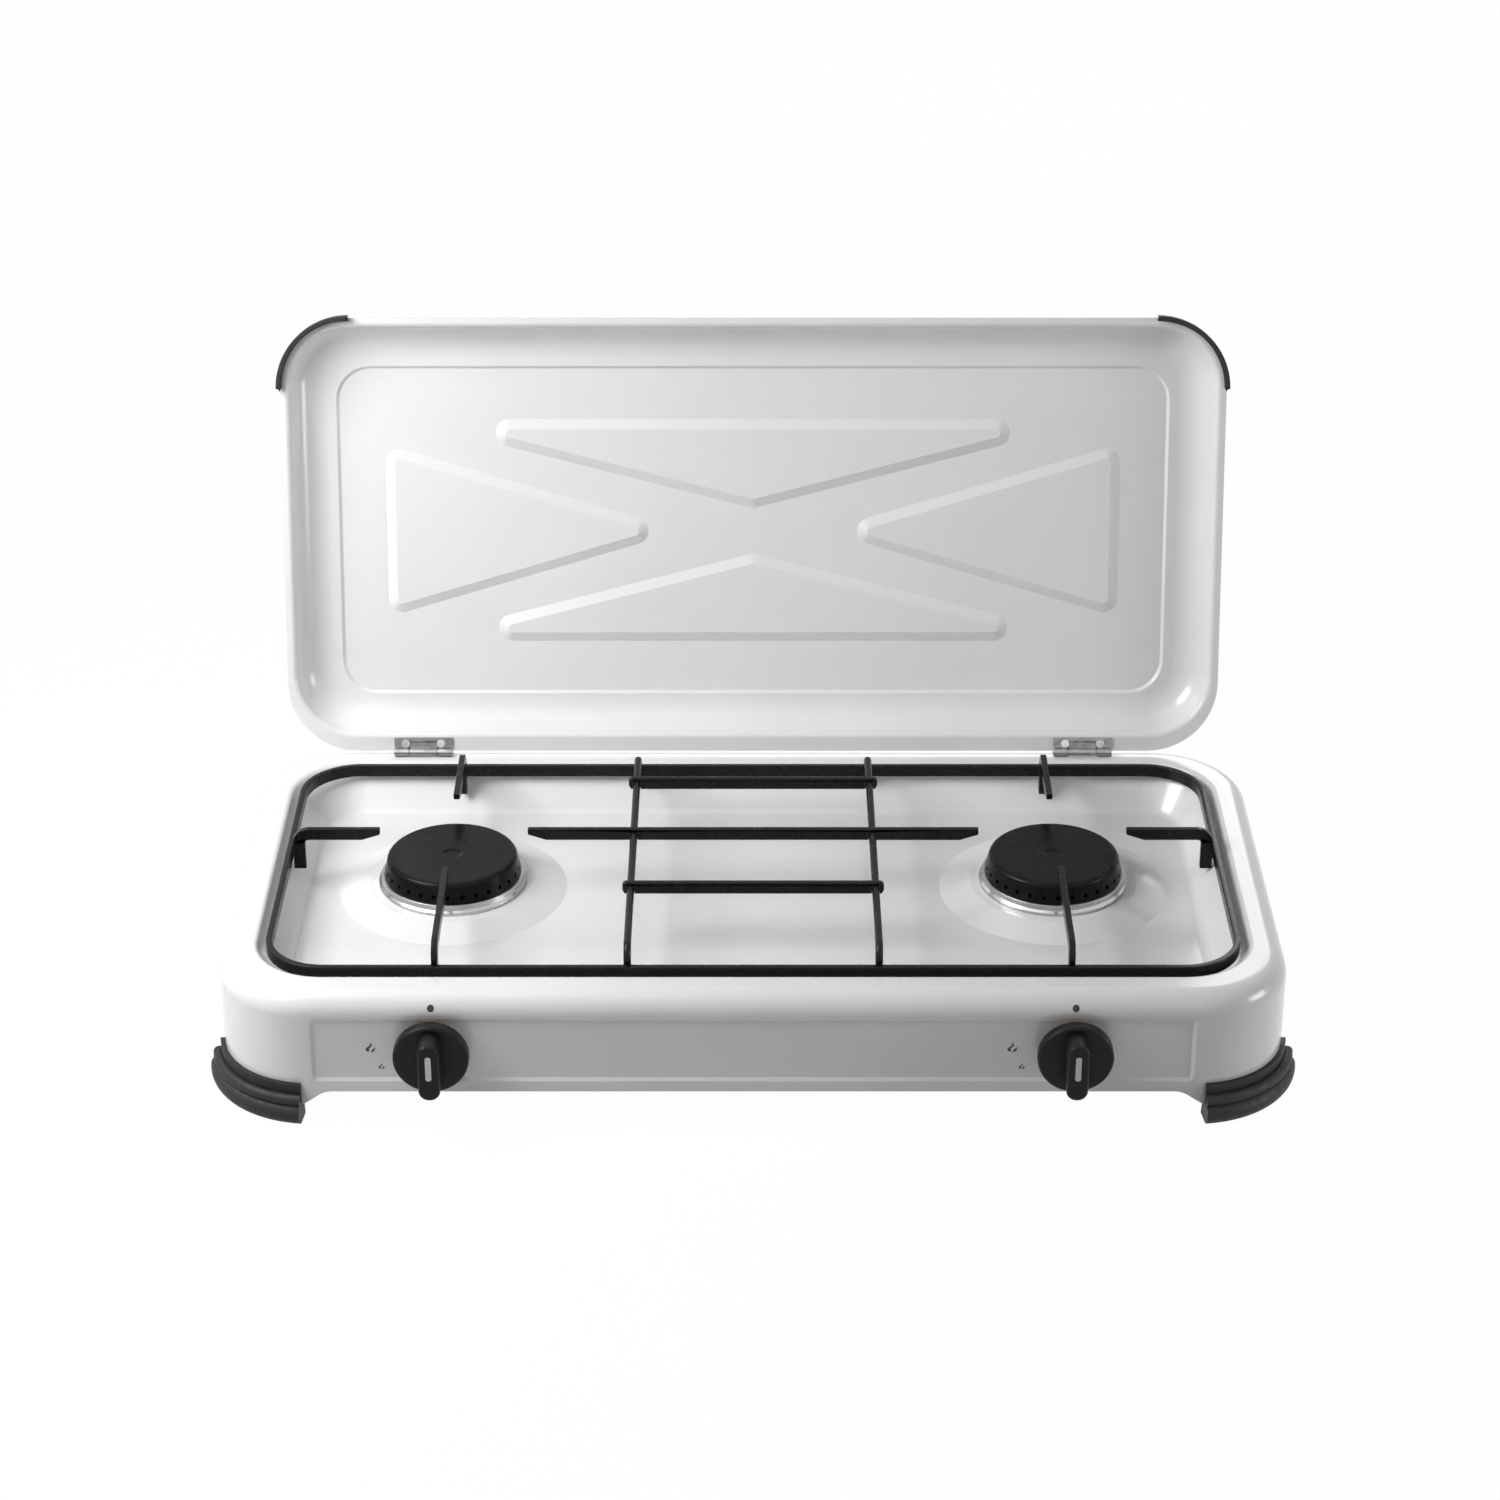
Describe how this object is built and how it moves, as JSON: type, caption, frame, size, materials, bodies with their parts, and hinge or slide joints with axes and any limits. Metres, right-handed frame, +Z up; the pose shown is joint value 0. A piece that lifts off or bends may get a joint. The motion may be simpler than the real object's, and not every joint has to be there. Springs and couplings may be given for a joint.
{
  "type": "camping stove",
  "caption": "Camping gas stove with a sunk enamelled hob, lift-off pan support and burner caps, turning knobs, rubber corner feet and a hinged lid with pressed triangles.",
  "frame": {"origin": "on the surface that the stove stands on, under the middle of its outline with the lid open", "axes": "+X to the right along the front, +Y to the rear, +Z up; the knobs face -Y"},
  "size_m": [0.5146, 0.331, 0.2872],
  "materials": {
    "white_enamel": "gloss enamel",
    "black_enamel": "gloss enamel",
    "support_enamel": "satin enamel",
    "rubber": "matt",
    "knob_plastic": "satin moulded",
    "pointer_white": "matt",
    "burner_ring": "polished",
    "burner_casting": "as cast",
    "brass": "machined",
    "gas_pipe": "zinc plated",
    "zinc_steel": "zinc plated"
  },
  "bodies": {
    "base": {"base_hinge_rivets": "zinc_steel", "body_shell": "white_enamel", "burner_cup_left": "burner_casting", "burner_cup_right": "burner_casting", "burner_ring_left": "burner_ring", "burner_ring_right": "burner_ring", "burner_screws_left": "zinc_steel", "burner_screws_right": "zinc_steel", "clamp_screws": "zinc_steel", "feed_pipe": "gas_pipe", "foot_front_left": "rubber", "foot_front_right": "rubber", "foot_rear_left": "rubber", "foot_rear_right": "rubber", "gas_inlet": "brass", "hinge_base_leaf_left": "zinc_steel", "hinge_base_leaf_right": "zinc_steel", "hinge_pin_left": "zinc_steel", "hinge_pin_right": "zinc_steel", "inlet_elbow": "brass", "inlet_nut": "brass", "jet_left": "brass", "jet_right": "brass", "manifold_pipe": "gas_pipe", "mixing_tube_left": "burner_casting", "mixing_tube_right": "burner_casting", "pipe_plug": "brass", "tap_body_left": "brass", "tap_body_right": "brass", "tap_clamp_left": "zinc_steel", "tap_clamp_right": "zinc_steel", "tap_nut_left": "brass", "tap_nut_right": "brass"},
    "lid": {"hinge_lid_leaf_left": "zinc_steel", "hinge_lid_leaf_right": "zinc_steel", "lid_hinge_rivets": "zinc_steel", "lid_shell": "white_enamel", "lid_strip_left": "rubber", "lid_strip_right": "rubber"},
    "pan_support": {"pan_bar_centre": "support_enamel", "pan_bar_front": "support_enamel", "pan_bar_rear": "support_enamel", "pan_finger_front_left": "support_enamel", "pan_finger_front_right": "support_enamel", "pan_finger_rear_left": "support_enamel", "pan_finger_rear_right": "support_enamel", "pan_finger_side_left": "support_enamel", "pan_finger_side_right": "support_enamel", "pan_frame": "support_enamel", "pan_wire_left": "support_enamel", "pan_wire_right": "support_enamel"},
    "burner_cap_left": {"burner_cap_left": "black_enamel"},
    "knob_left": {"knob_left": "knob_plastic", "knob_pointer_left": "pointer_white", "tap_stem_left": "zinc_steel"},
    "burner_cap_right": {"burner_cap_right": "black_enamel"},
    "knob_right": {"knob_right": "knob_plastic", "knob_pointer_right": "pointer_white", "tap_stem_right": "zinc_steel"}
  },
  "joints": [
    {"name": "lid_hinge", "type": "hinge", "parent": "base", "child": "lid", "pos_m": [0, 0.0947, 0.0683], "axis": [-1, 0, 0], "range_deg": [-104, 0]},
    {"name": "pan_support_lift", "type": "slide", "parent": "base", "child": "pan_support", "axis": [0, 0, 1], "range_m": [0, 0.06]},
    {"name": "burner_cap_left_lift", "type": "slide", "parent": "base", "child": "burner_cap_left", "axis": [0, 0, 1], "range_m": [0, 0.03]},
    {"name": "knob_left_turn", "type": "hinge", "parent": "base", "child": "knob_left", "pos_m": [-0.148, -0.1493, 0.039], "axis": [0, -1, 0], "range_deg": [0, 120]},
    {"name": "burner_cap_right_lift", "type": "slide", "parent": "base", "child": "burner_cap_right", "axis": [0, 0, 1], "range_m": [0, 0.03]},
    {"name": "knob_right_turn", "type": "hinge", "parent": "base", "child": "knob_right", "pos_m": [0.148, -0.1493, 0.039], "axis": [0, -1, 0], "range_deg": [0, 120]}
  ]
}
